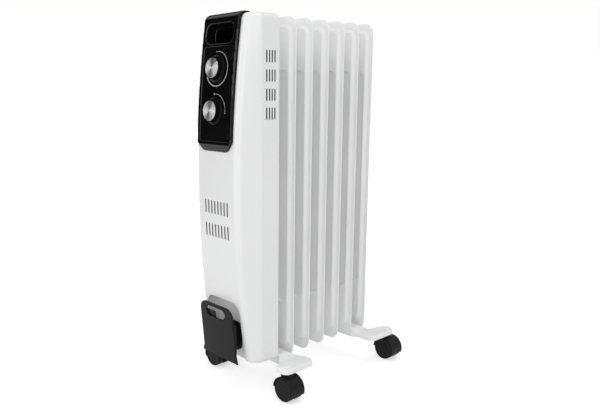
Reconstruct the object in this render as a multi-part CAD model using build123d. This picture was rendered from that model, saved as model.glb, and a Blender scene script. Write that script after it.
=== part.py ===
from build123d import *
import math
import os

# Oil filled radiator heater on four twin-wheel casters, in millimetres.
# X is to the right seen from the front, Y to the back and Z up from the floor;
# the controls face -Y and the origin is on the floor under the middle of the heater.

# Fin stack: pressed sheet fins welded in pairs and joined by two oil galleries
FIN_COUNT = 7
FIN_PITCH = 38.0
FIRST_FIN_Y = -93.4
FIN_HALF_WIDTH = 63.75
FIN_BOTTOM = 54.2
FIN_HEIGHT = 570.0
FIN_CORNER = 18.0
FIN_SHEET = 1.6
CHAMBER_RISE = 4.0
CHAMBER_SIDE_MARGIN = 11.0
CHAMBER_END_MARGIN = 17.0
CHAMBER_CORNER = 15.0
CHAMBER_FLANK = 3.5
WEB_SIDE_MARGIN = 8.0
WEB_TOP_MARGIN = 69.0
WEB_BOTTOM_MARGIN = 79.0
WEB_CORNER = 18.0
WEB_DEPTH = 2.6
WEB_FLANK = 2.0
GALLERY_END_OFFSET = 54.0
GALLERY_RADIUS = 22.0
GALLERY_BORE = 14.0
GALLERY_STUB = 7.0
END_CAP_THICKNESS = 4.0
END_CAP_DISH = 2.0

# Heating element in the lower gallery and plug in the upper one
FLANGE_ACROSS_FLATS = 38.0
FLANGE_THICKNESS = 7.0
NECK_CLEARANCE = 0.2
NECK_LENGTH = 9.0
ELEMENT_TUBE = 3.4
ELEMENT_LEG_X = 6.5
ELEMENT_LEG_Z = 5.5
ELEMENT_END_GAP = 12.0
TERMINAL_PIN_RADIUS = 1.6
TERMINAL_PIN_LENGTH = 9.0

# Control box: moulded shell with a bowed front and sloping sides
BOX_BOTTOM_RISE = 7.8
BOX_TOP_RISE = 0.3
BOX_HALF_WIDTH = 66.8
BOX_WALL = 2.2
BOX_FIN_GAP = 0.3
BOX_SIDE_DEPTH = 36.0
BOX_TOP_DEPTH = 54.52
BOX_BOTTOM_DEPTH = 51.58
BOW_RISE = 23.43
FLANK_WIDTH = 14.8
EDGE_ROUND = 13.5
TOP_ROUND_STEP = 1.0
SIDE_ROUND = 13.5
BOTTOM_ROUND = 9.0

# Air slots in the control box
FRONT_SLOT_WIDTH = 3.0
FRONT_SLOT_LENGTH = 22.3
FRONT_SLOT_PITCH = 8.1
FRONT_SLOT_COUNT = 8
FRONT_SLOT_ROWS = 2
FRONT_SLOT_ROW_PITCH = 38.7
FRONT_SLOT_HEIGHT = 240.6
SIDE_SLOT_WIDTH = 2.6
SIDE_SLOT_LENGTH = 18.7
SIDE_SLOT_PITCH = 5.67
SIDE_SLOT_COUNT = 4
SIDE_SLOT_ROWS = 4
SIDE_SLOT_ROW_PITCH = 29.0
SIDE_SLOT_DROP = 108.3
SIDE_SLOT_SETBACK = 17.8

# Control panel: gloss moulding that follows the bow and folds over the top
PANEL_HALF_WIDTH = 43.2
PANEL_RISE = 5.8
PANEL_SEAT_GAP = 0.2
PANEL_LENGTH = 211.5
PANEL_KNEE = 14.0
PANEL_LIP = 3.5
PANEL_LIP_RISE = 2.2
PANEL_EDGE_ROUND = 1.6
PANEL_FOOT_EDGE = 0.8
PANEL_FOOT_BEVEL = 11.0
PANEL_CORNER_X = 12.0
PANEL_CORNER_Z = 16.0
PANEL_CORNER_ROUND = 12.0
PANEL_WALL = 2.4
FIELD_HALF_WIDTH = 36.0
FIELD_TOP_DROP = 48.5
FIELD_LENGTH = 147.0
FIELD_CORNER = 5.0
FIELD_SINK = 0.9
WINDOW_CLEARANCE = 1.0
WINDOW_LENGTH = 178.0
WINDOW_CORNER = 6.0

# Grip recess in the panel
GRIP_TOP_DROP = 13.5
GRIP_HEIGHT = 32.5
GRIP_HALF_WIDTH = 35.0
GRIP_CORNER = 13.0
GRIP_MOUTH_DEPTH = 10.0
GRIP_FLANK = 4.0
GRIP_POCKET_INSET = 3.5
GRIP_POCKET_TOP_INSET = 3.0
GRIP_POCKET_DEPTH = 34.0
GRIP_POCKET_CORNER = 8.5
GRIP_WALL = 1.8

# Rotary controls: thermostat above, power selector below
THERMOSTAT_DROP = 83.3
SELECTOR_DROP = 148.1
KNOB_GAP = 0.4
KNOB_HEIGHT = 9.6
KNOB_SKIRT_RADIUS = 21.5
KNOB_SKIRT_HEIGHT = 1.4
KNOB_GRIP_RADIUS = 18.2
KNOB_GRIP_FOOT = 3.2
KNOB_TOP_RADIUS = 17.4
CAP_RADIUS = 15.4
CAP_CLEARANCE = 0.1
CAP_SEAT = 1.2
CAP_PROUD = 1.2
CAP_NOTCH_WIDTH = 2.4
CAP_NOTCH_LENGTH = 4.0
THERMOSTAT_REST = 46.0
SELECTOR_REST = 0.0
SPINDLE_RADIUS = 3.0
SPINDLE_FIT = 0.05
SPINDLE_TIP_COVER = 1.2
SPINDLE_TAIL = 14.0
BUSH_RADIUS = 5.0
BUSH_CLEARANCE = 0.1
BUSH_PROUD = 0.3
NUT_ACROSS_FLATS = 13.0
NUT_HEIGHT = 2.2
NUT_ROOM = 1.0
THERMOSTAT_CASE = 32.0
SELECTOR_CASE = 36.0
CASE_DEPTH = 20.0
CASE_CORNER = 4.0
CASE_GAP = 0.2
TAB_WIDTH = 6.3
TAB_THICKNESS = 0.8
TAB_LENGTH = 8.0
TAB_SPACING = 14.0

# Heat shield and the parts it carries behind the controls
SHIELD_SHEET = 1.2
SHIELD_HALF_WIDTH = 55.0
SHIELD_TOP_DROP = 8.0
SHIELD_FOOT_GAP = 0.2
SHIELD_FOOT_DEPTH = 20.0
SHIELD_FOOT_LEFT = -30.0
SHIELD_FOOT_RIGHT = 52.0
CUTOUT_RADIUS = 8.0
CUTOUT_HEIGHT = 7.0
CUTOUT_FLANGE_RADIUS = 11.0
CUTOUT_FLANGE = 1.2
CUTOUT_HEIGHT_ABOVE_GALLERY = 110.0
TERMINAL_BLOCK_WIDTH = 46.0
TERMINAL_BLOCK_DEPTH = 16.0
TERMINAL_BLOCK_HEIGHT = 22.0
TERMINAL_WAYS = 3
TERMINAL_PITCH = 14.0
TERMINAL_WELL_RADIUS = 3.2
TERMINAL_WELL_DEPTH = 7.0
TERMINAL_HEIGHT_ABOVE_GALLERY = 190.0

# Cord gland in the floor of the control box
GLAND_INSET = 21.8
GLAND_SETBACK = 18.0
GLAND_BORE = 3.8
GLAND_NECK = 6.0
GLAND_HEAD = 8.0
GLAND_HEAD_HEIGHT = 3.0
GLAND_TAIL = 5.0
GLAND_FIT = 0.1

# Cord winder in a scooped recess at the foot of the control box
RECESS_HALF_WIDTH = 43.0
RECESS_HEIGHT = 104.0
RECESS_CORNER = 18.0
RECESS_DEPTH = 43.0
RECESS_COVE = 11.0
WINDER_HALF_WIDTH = 42.5
WINDER_TOP = 97.4
WINDER_FOOT = 2.6
WINDER_CORNER = 16.0
WINDER_TILT = 5.5
WINDER_TILT_HEIGHT = 88.0
WINDER_REACH = 81.7
WINDER_DOME = 1.0
WINDER_PLATE = 3.0
WINDER_SKIRT_WALL = 2.5
WINDER_SKIRT_HIGH = 70.0
WINDER_FLARE = 4.5
WINDER_FLARE_HEIGHT = 20.0
WINDER_SKIRT_REACH = 70.4
WINDER_SLOT_HALF_WIDTH = 25.0
WINDER_SLOT_LOW = 73.4
WINDER_SLOT_HIGH = 91.4
WINDER_SLOT_CORNER = 8.0
CLIP_LENGTH = 20.0
CLIP_TOP = 83.0
CLIP_LAP = 2.5
CLIP_SHEET = 2.0
CLIP_SEAT = 0.5
CORE_HALF_WIDTH = 20.0
CORE_LOW = 16.0
CORE_HIGH = 58.0
CORE_CORNER = 8.0
CORE_FLANGE = 4.0
CORE_FLANGE_RIM = 4.0

# Screws
SCREW_RADIUS = 2.0
SCREW_CLEARANCE = 0.2
SCREW_HEAD_RADIUS = 4.0
SCREW_HEAD_HEIGHT = 2.4
SCREW_BITE = 8.0
HOUSING_SCREW_PLACES = (-20.0, 42.0)
HOUSING_SCREW_SETBACK = 24.0
WINDER_SCREW_HEIGHT = 38.0
WINDER_SCREW_HALF_SPACING = 10.0

# Foot brackets: pressed sheet bars between the end fins, with a caster at each end
BRACKET_SHEET = 1.8
BAR_HALF_WIDTH = 12.0
BAR_TOP = 64.0
BAR_BOTTOM = 46.5
BAR_REACH = 58.0
FOOT_TOP = 57.0
FOOT_BOTTOM = 48.0
FOOT_NECK = 70.0
FOOT_START = 79.0
FOOT_REACH = 104.0
FOOT_CORNER = 12.0
NECK_CORNER = 6.0
FRONT_FOOT_SPAN = (-37.0, 31.0)
FRONT_NECK_SPAN = (-20.0, 24.0)
REAR_FOOT_SPAN = (-7.0, 62.0)
REAR_NECK_SPAN = (-9.0, 26.0)
SADDLE_HALF_WIDTH = 19.0
SADDLE_HEIGHT = 40.0
SADDLE_OFFSET = 8.0
SADDLE_CLEARANCE = 0.1

# Clamps that pull each foot bracket up to the lower gallery
ROD_RADIUS = 2.5
ROD_CLEARANCE = 0.2
ROD_TAIL = 10.0
WING_NUT_RADIUS = 5.0
WING_NUT_HEIGHT = 5.0
WING_REACH = 11.0
WING_HEIGHT = 8.0
WING_THICKNESS = 1.8

# Casters: hooded twin wheels that swivel on a riveted stem
CASTER_X = 91.5
FRONT_CASTER_OFFSET = -22.2
REAR_CASTER_OFFSET = 53.0
CASTER_TRAIL = 4.0
WHEEL_RADIUS = 20.0
WHEEL_WIDTH = 12.4
WHEEL_ROUND = 1.2
WHEEL_DISH = 0.8
WHEEL_RIM = 2.6
WHEEL_FIT = 0.05
WHEEL_WEB_GAP = 0.4
AXLE_RADIUS = 2.5
AXLE_FIT = 0.02
AXLE_COVER = 3.0
HOOD_GAP = 0.8
HOOD_WALL = 1.7
HOOD_OVERHANG = 0.2
HOOD_INNER_RISE = 0.0
HOOD_OUTER_DROP = 7.5
HOOD_WEB = 4.5
TOWER_RADIUS = 10.8
TOWER_GAP = 0.5
STEM_RADIUS = 4.0
STEM_FIT = 0.05
STEM_TIP_GAP = 1.0
STEM_COLLAR = 6.5
STEM_COLLAR_GAP = 0.3
STEM_HEAD_RADIUS = 6.5
STEM_HEAD_HEIGHT = 2.0
STEM_HEAD_CHAMFER = 1.0

# Places that follow from the sizes above
FIN_TOP = FIN_BOTTOM + FIN_HEIGHT
FIN_Y = [FIRST_FIN_Y + FIN_PITCH * n for n in range(FIN_COUNT)]
FIN_HALF_DEPTH = FIN_SHEET / 2 + CHAMBER_RISE
GALLERY_LOW_Z = FIN_BOTTOM + GALLERY_END_OFFSET
GALLERY_HIGH_Z = FIN_TOP - GALLERY_END_OFFSET
SHIELD_BACK_Y = FIN_Y[0] - FIN_HALF_DEPTH - GALLERY_STUB
SHIELD_FRONT_Y = SHIELD_BACK_Y - SHIELD_SHEET
BOX_BOTTOM = FIN_BOTTOM + BOX_BOTTOM_RISE
BOX_TOP = FIN_TOP + BOX_TOP_RISE
BOX_HEIGHT = BOX_TOP - BOX_BOTTOM
BOX_BACK_Y = FIN_Y[0] - FIN_SHEET / 2 - BOX_FIN_GAP
BOX_SIDE_Y = BOX_BACK_Y - BOX_SIDE_DEPTH
FRONT_HALF_WIDTH = BOX_HALF_WIDTH - FLANK_WIDTH
GLAND_X = GLAND_INSET - BOX_HALF_WIDTH
BOW_LEAN = BOX_TOP_DEPTH - BOX_BOTTOM_DEPTH
BOW_CHORD = math.hypot(BOX_HEIGHT, BOW_LEAN)
BOW_RADIUS = (BOW_CHORD**2 / 4 + BOW_RISE**2) / (2 * BOW_RISE)
BOW_SETBACK = (BOW_RADIUS - BOW_RISE) / BOW_CHORD
BOW_Y = BOX_BACK_Y - (BOX_TOP_DEPTH + BOX_BOTTOM_DEPTH) / 2 + BOW_SETBACK * BOX_HEIGHT
BOW_Z = (BOX_BOTTOM + BOX_TOP) / 2 + BOW_SETBACK * BOW_LEAN
BOX_APEX_Y = BOW_Y - BOW_RADIUS
BOX_DEPTH = BOX_BACK_Y - BOX_APEX_Y
TOP_ROUND = EDGE_ROUND - TOP_ROUND_STEP
PANEL_GROW = PANEL_SEAT_GAP + PANEL_RISE
FIELD_GROW = PANEL_GROW - FIELD_SINK
FIELD_BACK_GROW = FIELD_GROW - PANEL_WALL
CASE_FACE = FIELD_BACK_GROW - CASE_GAP
KNOB_BASE = FIELD_GROW + KNOB_GAP
KNOB_FACE = KNOB_BASE + KNOB_HEIGHT
NUT_SEAT = FIELD_GROW
BUSH_TIP = NUT_SEAT + NUT_HEIGHT + BUSH_PROUD
SPINDLE_TIP = KNOB_FACE - CAP_SEAT - SPINDLE_TIP_COVER
RECESS_BACK_Y = BOX_BACK_Y - RECESS_DEPTH
WINDER_Y = BOX_BACK_Y - WINDER_REACH
WINDER_SKIRT_Y = BOX_BACK_Y - WINDER_SKIRT_REACH
SCREW_HOLE = SCREW_RADIUS + SCREW_CLEARANCE
FRONT_BAR_Y = (FIN_Y[0] + FIN_Y[1]) / 2
REAR_BAR_Y = (FIN_Y[-2] + FIN_Y[-1]) / 2
HOOD_INNER = WHEEL_RADIUS + HOOD_GAP
HOOD_OUTER = HOOD_INNER + HOOD_WALL
WHEEL_INNER_Y = HOOD_WEB / 2 + WHEEL_WEB_GAP
WHEEL_OUTER_Y = WHEEL_INNER_Y + WHEEL_WIDTH
HOOD_HALF_WIDTH = WHEEL_OUTER_Y + HOOD_OVERHANG
TOWER_TOP = FOOT_BOTTOM - TOWER_GAP
FAR = 4 * BOX_HALF_WIDTH


def rounded(half_width, low, high, corner):
    """Rounded rectangle about the centre line, between two heights."""
    return Pos(0, (low + high) / 2) * RectangleRounded(2 * half_width, high - low, corner)


def slab(face, bottom, top):
    """Plate over a flat face, between two levels."""
    return Pos(0, 0, bottom) * extrude(face, amount=top - bottom)


def pad(half_width, low, high, corner, base, crest, flank):
    """Rounded pad with sloping flanks."""
    wide = rounded(half_width, low, high, corner)
    narrow = rounded(half_width - flank, low + flank, high - flank, corner - flank)
    return loft([Pos(0, 0, base) * wide, Pos(0, 0, crest) * narrow], ruled=True)


def block(x_span, y_span, z_span):
    """Box between two limits on each axis."""
    spans = (x_span, y_span, z_span)
    middle = [(low + high) / 2 for low, high in spans]
    return Pos(*middle) * Box(*[high - low for low, high in spans])


def bar_x(radius, y, z):
    """Long round bar across the heater."""
    return Pos(0, y, z) * (Rot(0, 90, 0) * Cylinder(radius, FAR))


def bar_y(radius, y_front, y_back, x=0.0, z=0.0):
    """Round bar from front to back."""
    return Pos(x, (y_front + y_back) / 2, z) * (Rot(90, 0, 0) * Cylinder(radius, y_back - y_front))


def bar_z(radius, low, high, x=0.0, y=0.0):
    """Upright round bar."""
    return Pos(x, y, (low + high) / 2) * Cylinder(radius, high - low)


def prism_y(face, y_front, y_back):
    """Prism from front to back over a face drawn in X and Z."""
    return Pos(0, y_back, 0) * (Plane.XZ * extrude(face, amount=y_back - y_front))


def group(shapes):
    """One node of several like solids."""
    return Compound(children=[shape.solid() for shape in shapes])


def fin():
    """Flat rim, raised oil chamber and a sunk web between the two columns."""
    rim = slab(rounded(FIN_HALF_WIDTH, FIN_BOTTOM, FIN_TOP, FIN_CORNER), -FIN_SHEET / 2, FIN_SHEET / 2)
    half_width = FIN_HALF_WIDTH - CHAMBER_SIDE_MARGIN
    low = FIN_BOTTOM + CHAMBER_END_MARGIN
    high = FIN_TOP - CHAMBER_END_MARGIN
    chamber = pad(half_width, low, high, CHAMBER_CORNER, FIN_SHEET / 2, FIN_HALF_DEPTH, CHAMBER_FLANK)
    web = pad(
        half_width - WEB_SIDE_MARGIN,
        low + WEB_BOTTOM_MARGIN,
        high - WEB_TOP_MARGIN,
        WEB_CORNER,
        FIN_HALF_DEPTH,
        FIN_HALF_DEPTH - WEB_DEPTH,
        WEB_FLANK,
    )
    front = chamber - web
    body = rim + front + mirror(front, about=Plane.XY)
    for z in (GALLERY_LOW_Z, GALLERY_HIGH_Z):
        body -= Pos(0, z, 0) * Cylinder(GALLERY_BORE, FAR)
    return Plane.XZ * body


def gallery_sleeves(z):
    """Tubes that join the fins, and a stub on the front of the first one."""
    spans = [(SHIELD_BACK_Y, FIN_Y[0] - FIN_HALF_DEPTH)]
    spans += [(a + FIN_HALF_DEPTH, b - FIN_HALF_DEPTH) for a, b in zip(FIN_Y, FIN_Y[1:])]
    return group([bar_y(GALLERY_RADIUS, *span, z=z) - bar_y(GALLERY_BORE, *span, z=z) for span in spans])


def end_cap(z):
    """Dished disc that closes a gallery behind the last fin."""
    seat = FIN_Y[-1] + FIN_HALF_DEPTH
    back = seat + END_CAP_THICKNESS
    disc = bar_y(GALLERY_RADIUS, seat, back, z=z)
    disc = chamfer(disc.faces().sort_by(Axis.Y)[-1].edges(), END_CAP_DISH)
    return disc - bar_y(GALLERY_BORE, back - END_CAP_DISH, back, z=z)


def gallery_plug(z):
    """Hexagon head with a neck into the gallery stub, clamping the heat shield."""
    head = Pos(0, z) * RegularPolygon(FLANGE_ACROSS_FLATS / math.sqrt(3), 6)
    body = prism_y(head, SHIELD_FRONT_Y - FLANGE_THICKNESS, SHIELD_FRONT_Y)
    return body + bar_y(GALLERY_BORE - NECK_CLEARANCE, SHIELD_FRONT_Y, SHIELD_FRONT_Y + NECK_LENGTH, z=z)


def heating_elements():
    """Two hairpin tubes along the lower gallery, with their terminal pins on the flange."""
    start = SHIELD_FRONT_Y + NECK_LENGTH
    bend = FIN_Y[-1] - ELEMENT_END_GAP - ELEMENT_LEG_X
    pin_back = SHIELD_FRONT_Y - FLANGE_THICKNESS
    solids = []
    for z in (GALLERY_LOW_Z - ELEMENT_LEG_Z, GALLERY_LOW_Z + ELEMENT_LEG_Z):
        left = Line((-ELEMENT_LEG_X, start, z), (-ELEMENT_LEG_X, bend, z))
        right = Line((ELEMENT_LEG_X, bend, z), (ELEMENT_LEG_X, start, z))
        turn = ThreePointArc(left @ 1, (0, bend + ELEMENT_LEG_X, z), right @ 0)
        section = Plane(left @ 0, z_dir=(0, 1, 0)) * Circle(ELEMENT_TUBE)
        solids.append(sweep(section, path=left + turn + right))
        for x in (-ELEMENT_LEG_X, ELEMENT_LEG_X):
            solids.append(bar_y(TERMINAL_PIN_RADIUS, pin_back - TERMINAL_PIN_LENGTH, pin_back, x, z))
    return group(solids)


def bow_point(z, grow=0.0):
    """Point on the bowed front at a height, on a surface grown outwards."""
    return (0, BOW_Y - math.sqrt((BOW_RADIUS + grow) ** 2 - (z - BOW_Z) ** 2), z)


def bow_plane(z):
    """Plane on the bowed front with its normal outwards and its second axis upwards."""
    slope = math.asin((z - BOW_Z) / BOW_RADIUS)
    return Plane(bow_point(z), x_dir=(1, 0, 0), z_dir=(0, -math.cos(slope), math.sin(slope)))


def box_form(inset, back):
    """Outer form of the control box, shrunk by an inset, with its open end at the back."""
    low = BOX_BOTTOM + inset
    high = BOX_TOP - inset
    side = BOX_HALF_WIDTH - inset
    slope = math.atan2(BOX_DEPTH - BOX_SIDE_DEPTH, BOX_HALF_WIDTH - FRONT_HALF_WIDTH)
    front_half = FRONT_HALF_WIDTH - inset * math.tan(slope / 2)
    side_y = BOX_SIDE_Y + inset * math.tan((math.pi / 2 - slope) / 2)
    top_y = bow_point(high, -inset)[1]
    low_y = bow_point(low, -inset)[1]
    bow = ThreePointArc((low_y, low), (BOX_APEX_Y + inset, BOW_Z), (top_y, high))
    front_face = make_face(bow + Polyline((top_y, high), (back, high), (back, low), (low_y, low)))
    side_face = make_face(Polyline((side_y, low), (side_y, high), (back, high), (back, low), close=True))
    middle = extrude(Plane.YZ * front_face, amount=front_half, both=True)
    flank = loft([Plane.YZ.offset(front_half) * front_face, Plane.YZ.offset(side) * side_face], ruled=True)
    form = (middle + flank + mirror(flank, about=Plane.YZ)).clean()
    for x, radius in ((front_half, EDGE_ROUND), (side, SIDE_ROUND)):
        tall = [edge for edge in form.edges() if edge.bounding_box().size.Z > BOX_HEIGHT / 2]
        tall = [edge for edge in tall if abs(abs(edge.center().X) - x) < BOX_WALL / 2]
        form = fillet([edge for edge in tall if edge.center().Y < BOX_SIDE_Y + BOX_WALL], radius - inset)
    for place, radius in ((-1, TOP_ROUND), (0, BOTTOM_ROUND)):
        loop = form.faces().sort_by(Axis.Z)[place].edges()
        form = fillet([edge for edge in loop if edge.center().Y < back - BOX_WALL], radius - inset)
    return form


def recess_form(grow):
    """Arch-topped scoop for the cord winder, grown all round."""
    top = BOX_BOTTOM + RECESS_HEIGHT + grow
    outline = rounded(RECESS_HALF_WIDTH + grow, BOX_BOTTOM - RECESS_HEIGHT, top, RECESS_CORNER + grow)
    scoop = prism_y(outline, BOX_APEX_Y - RECESS_DEPTH, RECESS_BACK_Y + grow)
    return fillet(scoop.faces().sort_by(Axis.Y)[-1].edges(), RECESS_COVE + grow)


def screw_places():
    """Housing screws in the floor, and winder screws in the recess wall."""
    floor = [(x, BOX_BACK_Y - HOUSING_SCREW_SETBACK) for x in HOUSING_SCREW_PLACES]
    wall_z = BOX_BOTTOM + WINDER_SCREW_HEIGHT
    wall = [(x, wall_z) for x in (-WINDER_SCREW_HALF_SPACING, WINDER_SCREW_HALF_SPACING)]
    return floor, wall


def control_box():
    """Thin shell, open at the back, with the winder recess, panel window and air slots."""
    shell = box_form(0, BOX_BACK_Y) - recess_form(0)
    shell -= box_form(BOX_WALL, BOX_BACK_Y + BOX_WALL) - recess_form(BOX_WALL)
    window_top = BOX_TOP - GRIP_TOP_DROP + GRIP_WALL + WINDOW_CLEARANCE
    window_half = GRIP_HALF_WIDTH + GRIP_WALL + WINDOW_CLEARANCE
    window = rounded(window_half, window_top - WINDOW_LENGTH, window_top, WINDOW_CORNER)
    shell -= prism_y(window, BOX_APEX_Y - BOX_DEPTH, BOX_SIDE_Y)
    slot = SlotOverall(FRONT_SLOT_LENGTH, FRONT_SLOT_WIDTH, rotation=90)
    grid = GridLocations(FRONT_SLOT_PITCH, FRONT_SLOT_ROW_PITCH, FRONT_SLOT_COUNT, FRONT_SLOT_ROWS)
    front_slots = Pos(0, BOX_BOTTOM + FRONT_SLOT_HEIGHT) * (Sketch() + grid * slot)
    shell -= prism_y(front_slots, BOX_APEX_Y - BOX_DEPTH, BOX_SIDE_Y)
    slot = SlotOverall(SIDE_SLOT_LENGTH, SIDE_SLOT_WIDTH, rotation=90)
    grid = GridLocations(SIDE_SLOT_PITCH, SIDE_SLOT_ROW_PITCH, SIDE_SLOT_COUNT, SIDE_SLOT_ROWS)
    side_slots = Pos(BOX_BACK_Y - SIDE_SLOT_SETBACK, BOX_TOP - SIDE_SLOT_DROP) * (Sketch() + grid * slot)
    shell -= Plane.YZ * extrude(side_slots, amount=FAR, both=True)
    floor, wall = screw_places()
    for x, y in floor:
        shell -= bar_z(SCREW_HOLE, BOX_BOTTOM - BOX_WALL, BOX_BOTTOM + 2 * BOX_WALL, x, y)
    for x, z in wall:
        shell -= bar_y(SCREW_HOLE, RECESS_BACK_Y - BOX_WALL, RECESS_BACK_Y + 2 * BOX_WALL, x, z)
    gland_y = BOX_BACK_Y - GLAND_SETBACK
    gland_hole = GLAND_NECK + GLAND_FIT
    return shell - bar_z(gland_hole, BOX_BOTTOM - BOX_WALL, BOX_BOTTOM + 2 * BOX_WALL, GLAND_X, gland_y)


def panel_curve(grow, knee, top, start_z):
    """Side view of the panel's back or face: up the bow, over the top edge and along the top."""
    centre_z = BOX_TOP + top - knee
    reach = BOW_RADIUS + grow - knee
    lean = math.asin((centre_z - BOW_Z) / reach)
    centre_y = BOW_Y - reach * math.cos(lean)
    half_turn = (lean + math.pi / 2) / 2
    start, middle = (bow_point(z, grow)[1:] for z in (start_z, (start_z + centre_z) / 2))
    bend = (centre_y - knee * math.cos(lean), centre_z + knee * math.sin(lean))
    fold = (centre_y - knee * math.cos(half_turn), centre_z + knee * math.sin(half_turn))
    crown = (centre_y, BOX_TOP + top)
    end = (bow_point(BOX_TOP - TOP_ROUND, -TOP_ROUND)[1] + PANEL_LIP, BOX_TOP + top)
    return ThreePointArc(start, middle, bend) + ThreePointArc(bend, fold, crown) + Line(crown, end)


def panel_slab():
    """Panel that follows the bow and folds over the top, with round edges and cut lower corners."""
    start_z = BOX_TOP - PANEL_LENGTH
    back = panel_curve(PANEL_SEAT_GAP, TOP_ROUND + PANEL_SEAT_GAP, PANEL_SEAT_GAP, start_z)
    lip_top = PANEL_SEAT_GAP + PANEL_LIP_RISE
    face = panel_curve(PANEL_GROW, PANEL_KNEE, lip_top, start_z + PANEL_FOOT_BEVEL)
    foot = bow_point(start_z, PANEL_SEAT_GAP + PANEL_FOOT_EDGE)[1:]
    ends = Line(back @ 0, foot) + Line(foot, face @ 0) + Line(back @ 1, face @ 1)
    slab_form = extrude(Plane.YZ * make_face(back + face + ends), amount=PANEL_HALF_WIDTH, both=True)
    sides = [slab_form.faces().sort_by(Axis.X)[place] for place in (0, -1)]
    outer = [edge for side in sides for edge in side.edges() if is_on_face(edge)]
    slab_form = fillet(outer, PANEL_EDGE_ROUND)
    low_half = PANEL_HALF_WIDTH - PANEL_CORNER_X
    high = BOX_TOP + FAR
    right = [(low_half, start_z), (PANEL_HALF_WIDTH, start_z + PANEL_CORNER_Z), (PANEL_HALF_WIDTH, high)]
    outline = make_face(Polyline(*right, *[(-x, z) for x, z in reversed(right)], close=True))
    corners = [vertex for vertex in outline.vertices() if vertex.Y < BOX_TOP]
    outline = fillet(corners, PANEL_CORNER_ROUND)
    return slab_form & prism_y(outline, BOX_APEX_Y - BOX_DEPTH, BOX_BACK_Y)


def is_on_face(edge):
    """True for an edge of the panel's outer face, not of its back or its ends."""
    middle = edge @ 0.5
    reach = math.hypot(middle.Y - BOW_Y, middle.Z - BOW_Z) - BOW_RADIUS
    on_bow = reach > PANEL_SEAT_GAP + PANEL_FOOT_EDGE and middle.Z < BOX_TOP
    return on_bow or middle.Z > BOX_TOP + PANEL_LIP_RISE


def control_panel():
    """Gloss panel with a sunk dial field, two control holes and the grip recess."""
    panel = panel_slab()
    field_top = BOX_TOP - FIELD_TOP_DROP
    field_low = field_top - FIELD_LENGTH
    field = prism_y(
        rounded(FIELD_HALF_WIDTH, field_low, field_top, FIELD_CORNER), BOX_APEX_Y - BOX_DEPTH, BOX_SIDE_Y
    )
    panel -= field - bar_x(BOW_RADIUS + FIELD_GROW, BOW_Y, BOW_Z)
    back_half = FIELD_HALF_WIDTH - PANEL_WALL
    hollow = rounded(back_half, field_low + PANEL_WALL, field_top - PANEL_WALL, FIELD_CORNER)
    hollow = prism_y(hollow, BOX_APEX_Y - BOX_DEPTH, BOX_SIDE_Y)
    panel -= hollow & bar_x(BOW_RADIUS + FIELD_BACK_GROW, BOW_Y, BOW_Z)
    bush_hole = slab(Circle(BUSH_RADIUS + BUSH_CLEARANCE), -KNOB_FACE, KNOB_FACE)
    for drop in (THERMOSTAT_DROP, SELECTOR_DROP):
        panel -= bow_plane(BOX_TOP - drop) * bush_hole
    mouth = bow_plane(BOX_TOP - GRIP_TOP_DROP - GRIP_HEIGHT / 2)
    half_height = GRIP_HEIGHT / 2
    pocket_low = GRIP_FLANK - half_height
    pocket_high = half_height - GRIP_FLANK - GRIP_POCKET_TOP_INSET
    pocket_half = GRIP_HALF_WIDTH - GRIP_FLANK - GRIP_POCKET_INSET
    walls = pad(
        GRIP_HALF_WIDTH + GRIP_WALL,
        -half_height - GRIP_WALL,
        half_height + GRIP_WALL,
        GRIP_CORNER + GRIP_WALL,
        FIELD_BACK_GROW,
        -GRIP_MOUTH_DEPTH - GRIP_WALL,
        GRIP_FLANK,
    )
    pocket = rounded(
        pocket_half + GRIP_WALL,
        pocket_low - GRIP_WALL,
        pocket_high + GRIP_WALL,
        GRIP_POCKET_CORNER + GRIP_WALL,
    )
    walls += slab(pocket, -GRIP_POCKET_DEPTH - GRIP_WALL, -GRIP_MOUTH_DEPTH)
    hollow = pad(
        GRIP_HALF_WIDTH,
        -half_height,
        half_height,
        GRIP_CORNER,
        PANEL_GROW + GRIP_WALL,
        -GRIP_MOUTH_DEPTH,
        GRIP_FLANK,
    )
    pocket = rounded(pocket_half, pocket_low, pocket_high, GRIP_POCKET_CORNER)
    hollow += slab(pocket, -GRIP_POCKET_DEPTH, -GRIP_MOUTH_DEPTH + GRIP_WALL)
    return panel + mouth * walls - mouth * hollow


def control_case(size):
    """Switch body with a threaded bush through the panel and two push-on tabs behind."""
    back = CASE_FACE - CASE_DEPTH
    case = slab(RectangleRounded(size, size, CASE_CORNER), back, CASE_FACE)
    case += slab(Circle(BUSH_RADIUS), CASE_FACE, BUSH_TIP)
    case -= slab(Circle(SPINDLE_RADIUS + SPINDLE_FIT), CASE_FACE - SPINDLE_TAIL - SPINDLE_FIT, BUSH_TIP)
    for x in (-TAB_SPACING / 2, TAB_SPACING / 2):
        case += Pos(x, 0, 0) * slab(Rectangle(TAB_THICKNESS, TAB_WIDTH), back - TAB_LENGTH, back)
    return case


def knob():
    """Turned knob with a flared skirt, a seat for its cap and room for the nut below."""
    profile = Polyline(
        (0, KNOB_BASE),
        (KNOB_SKIRT_RADIUS, KNOB_BASE),
        (KNOB_SKIRT_RADIUS, KNOB_BASE + KNOB_SKIRT_HEIGHT),
        (KNOB_GRIP_RADIUS, KNOB_BASE + KNOB_GRIP_FOOT),
        (KNOB_TOP_RADIUS, KNOB_FACE),
        (0, KNOB_FACE),
        close=True,
    )
    body = revolve(Plane.XZ * make_face(profile), axis=Axis.Z)
    body -= slab(Circle(CAP_RADIUS + CAP_CLEARANCE), KNOB_FACE - CAP_SEAT, KNOB_FACE)
    body -= slab(Circle(NUT_ACROSS_FLATS / math.sqrt(3) + NUT_ROOM), KNOB_BASE, BUSH_TIP + NUT_ROOM)
    return body - slab(Circle(SPINDLE_RADIUS), KNOB_BASE, SPINDLE_TIP)


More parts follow.
